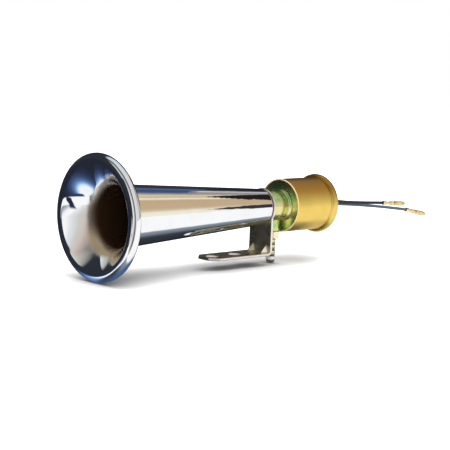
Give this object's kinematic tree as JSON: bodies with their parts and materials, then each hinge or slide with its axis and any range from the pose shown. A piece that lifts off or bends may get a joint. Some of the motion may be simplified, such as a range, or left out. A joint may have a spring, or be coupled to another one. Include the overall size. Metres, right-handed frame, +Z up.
{
  "type": "air horn",
  "caption": "Trumpet air horn with a solenoid valve, hose barb, L-bracket and two leads; sounds a reed when air and current are applied.",
  "frame": {"origin": "on the underside of the bracket's foot, midway between its two bolt holes", "axes": "+X along the trumpet's axis towards the bell, +Z up from the foot to the horn"},
  "size_m": [0.344, 0.09, 0.09],
  "materials": {
    "bright_chrome": "polished chrome plate",
    "gold_finish": "satin gold lacquer",
    "zinc_sheet": "bright zinc plate",
    "passivated_zinc": "turned, yellow-green passivated zinc",
    "pale_zinc": "pale yellow passivated zinc",
    "turned_brass": "turned brass",
    "terminal_brass": "bright stamped brass",
    "spring_bronze": "cold-rolled bronze strip",
    "plain_steel": "plain turned steel",
    "copper_wire": "enamelled wire",
    "bobbin_nylon": "moulded nylon",
    "black_tape": "cloth tape",
    "fibre": "vulcanised fibre",
    "black_rubber": "moulded rubber",
    "black_sheath": "extruded sheath",
    "slate_sheath": "extruded sheath"
  },
  "bodies": {
    "bracket": {"bracket": "zinc_sheet"},
    "horn": {"trumpet": "bright_chrome", "throat_gasket": "fibre", "hollow_bolt": "turned_brass", "reed_block": "turned_brass", "reed_clamp": "turned_brass", "reed_screws": "plain_steel", "valve_body": "passivated_zinc", "inlet_bung": "passivated_zinc", "barb_gasket": "fibre", "hose_barb": "pale_zinc", "valve_seat": "turned_brass", "body_gasket": "black_rubber", "guide_tube": "turned_brass", "return_spring": "plain_steel", "fixed_core": "plain_steel", "front_plate": "zinc_sheet", "bobbin": "bobbin_nylon", "coil_winding": "copper_wire", "coil_tape": "black_tape", "rear_plate": "zinc_sheet", "lock_washer": "plain_steel", "core_nut": "plain_steel", "solder_tags": "terminal_brass", "inner_leads": "black_sheath", "cover_can": "gold_finish", "rear_cover": "gold_finish", "grommet": "black_rubber", "lead_black": "black_sheath", "lead_blue": "slate_sheath", "terminal_black": "terminal_brass", "terminal_blue": "terminal_brass"},
    "plunger": {"plunger": "plain_steel", "seat_pad": "black_rubber"},
    "reed": {"reed_tongue": "spring_bronze"}
  },
  "joints": [
    {"name": "bracket_swivel", "type": "hinge", "parent": "bracket", "child": "horn", "pos_m": [-0.0387, 0, 0.0372], "axis": [1, 0, 0], "continuous": true},
    {"name": "plunger_slide", "type": "slide", "parent": "horn", "child": "plunger", "axis": [-1, 0, 0], "range_m": [0, 0.0018], "stiffness_N_per_m": 400, "springref_m": -0.006, "deforming": ["return_spring"]},
    {"name": "reed_swing", "type": "hinge", "parent": "horn", "child": "reed", "pos_m": [-0.0382, 0, 0.03845], "axis": [0, 1, 0], "range_deg": [-2.2, 0.5], "stiffness_Nm_per_rad": 0.001}
  ]
}
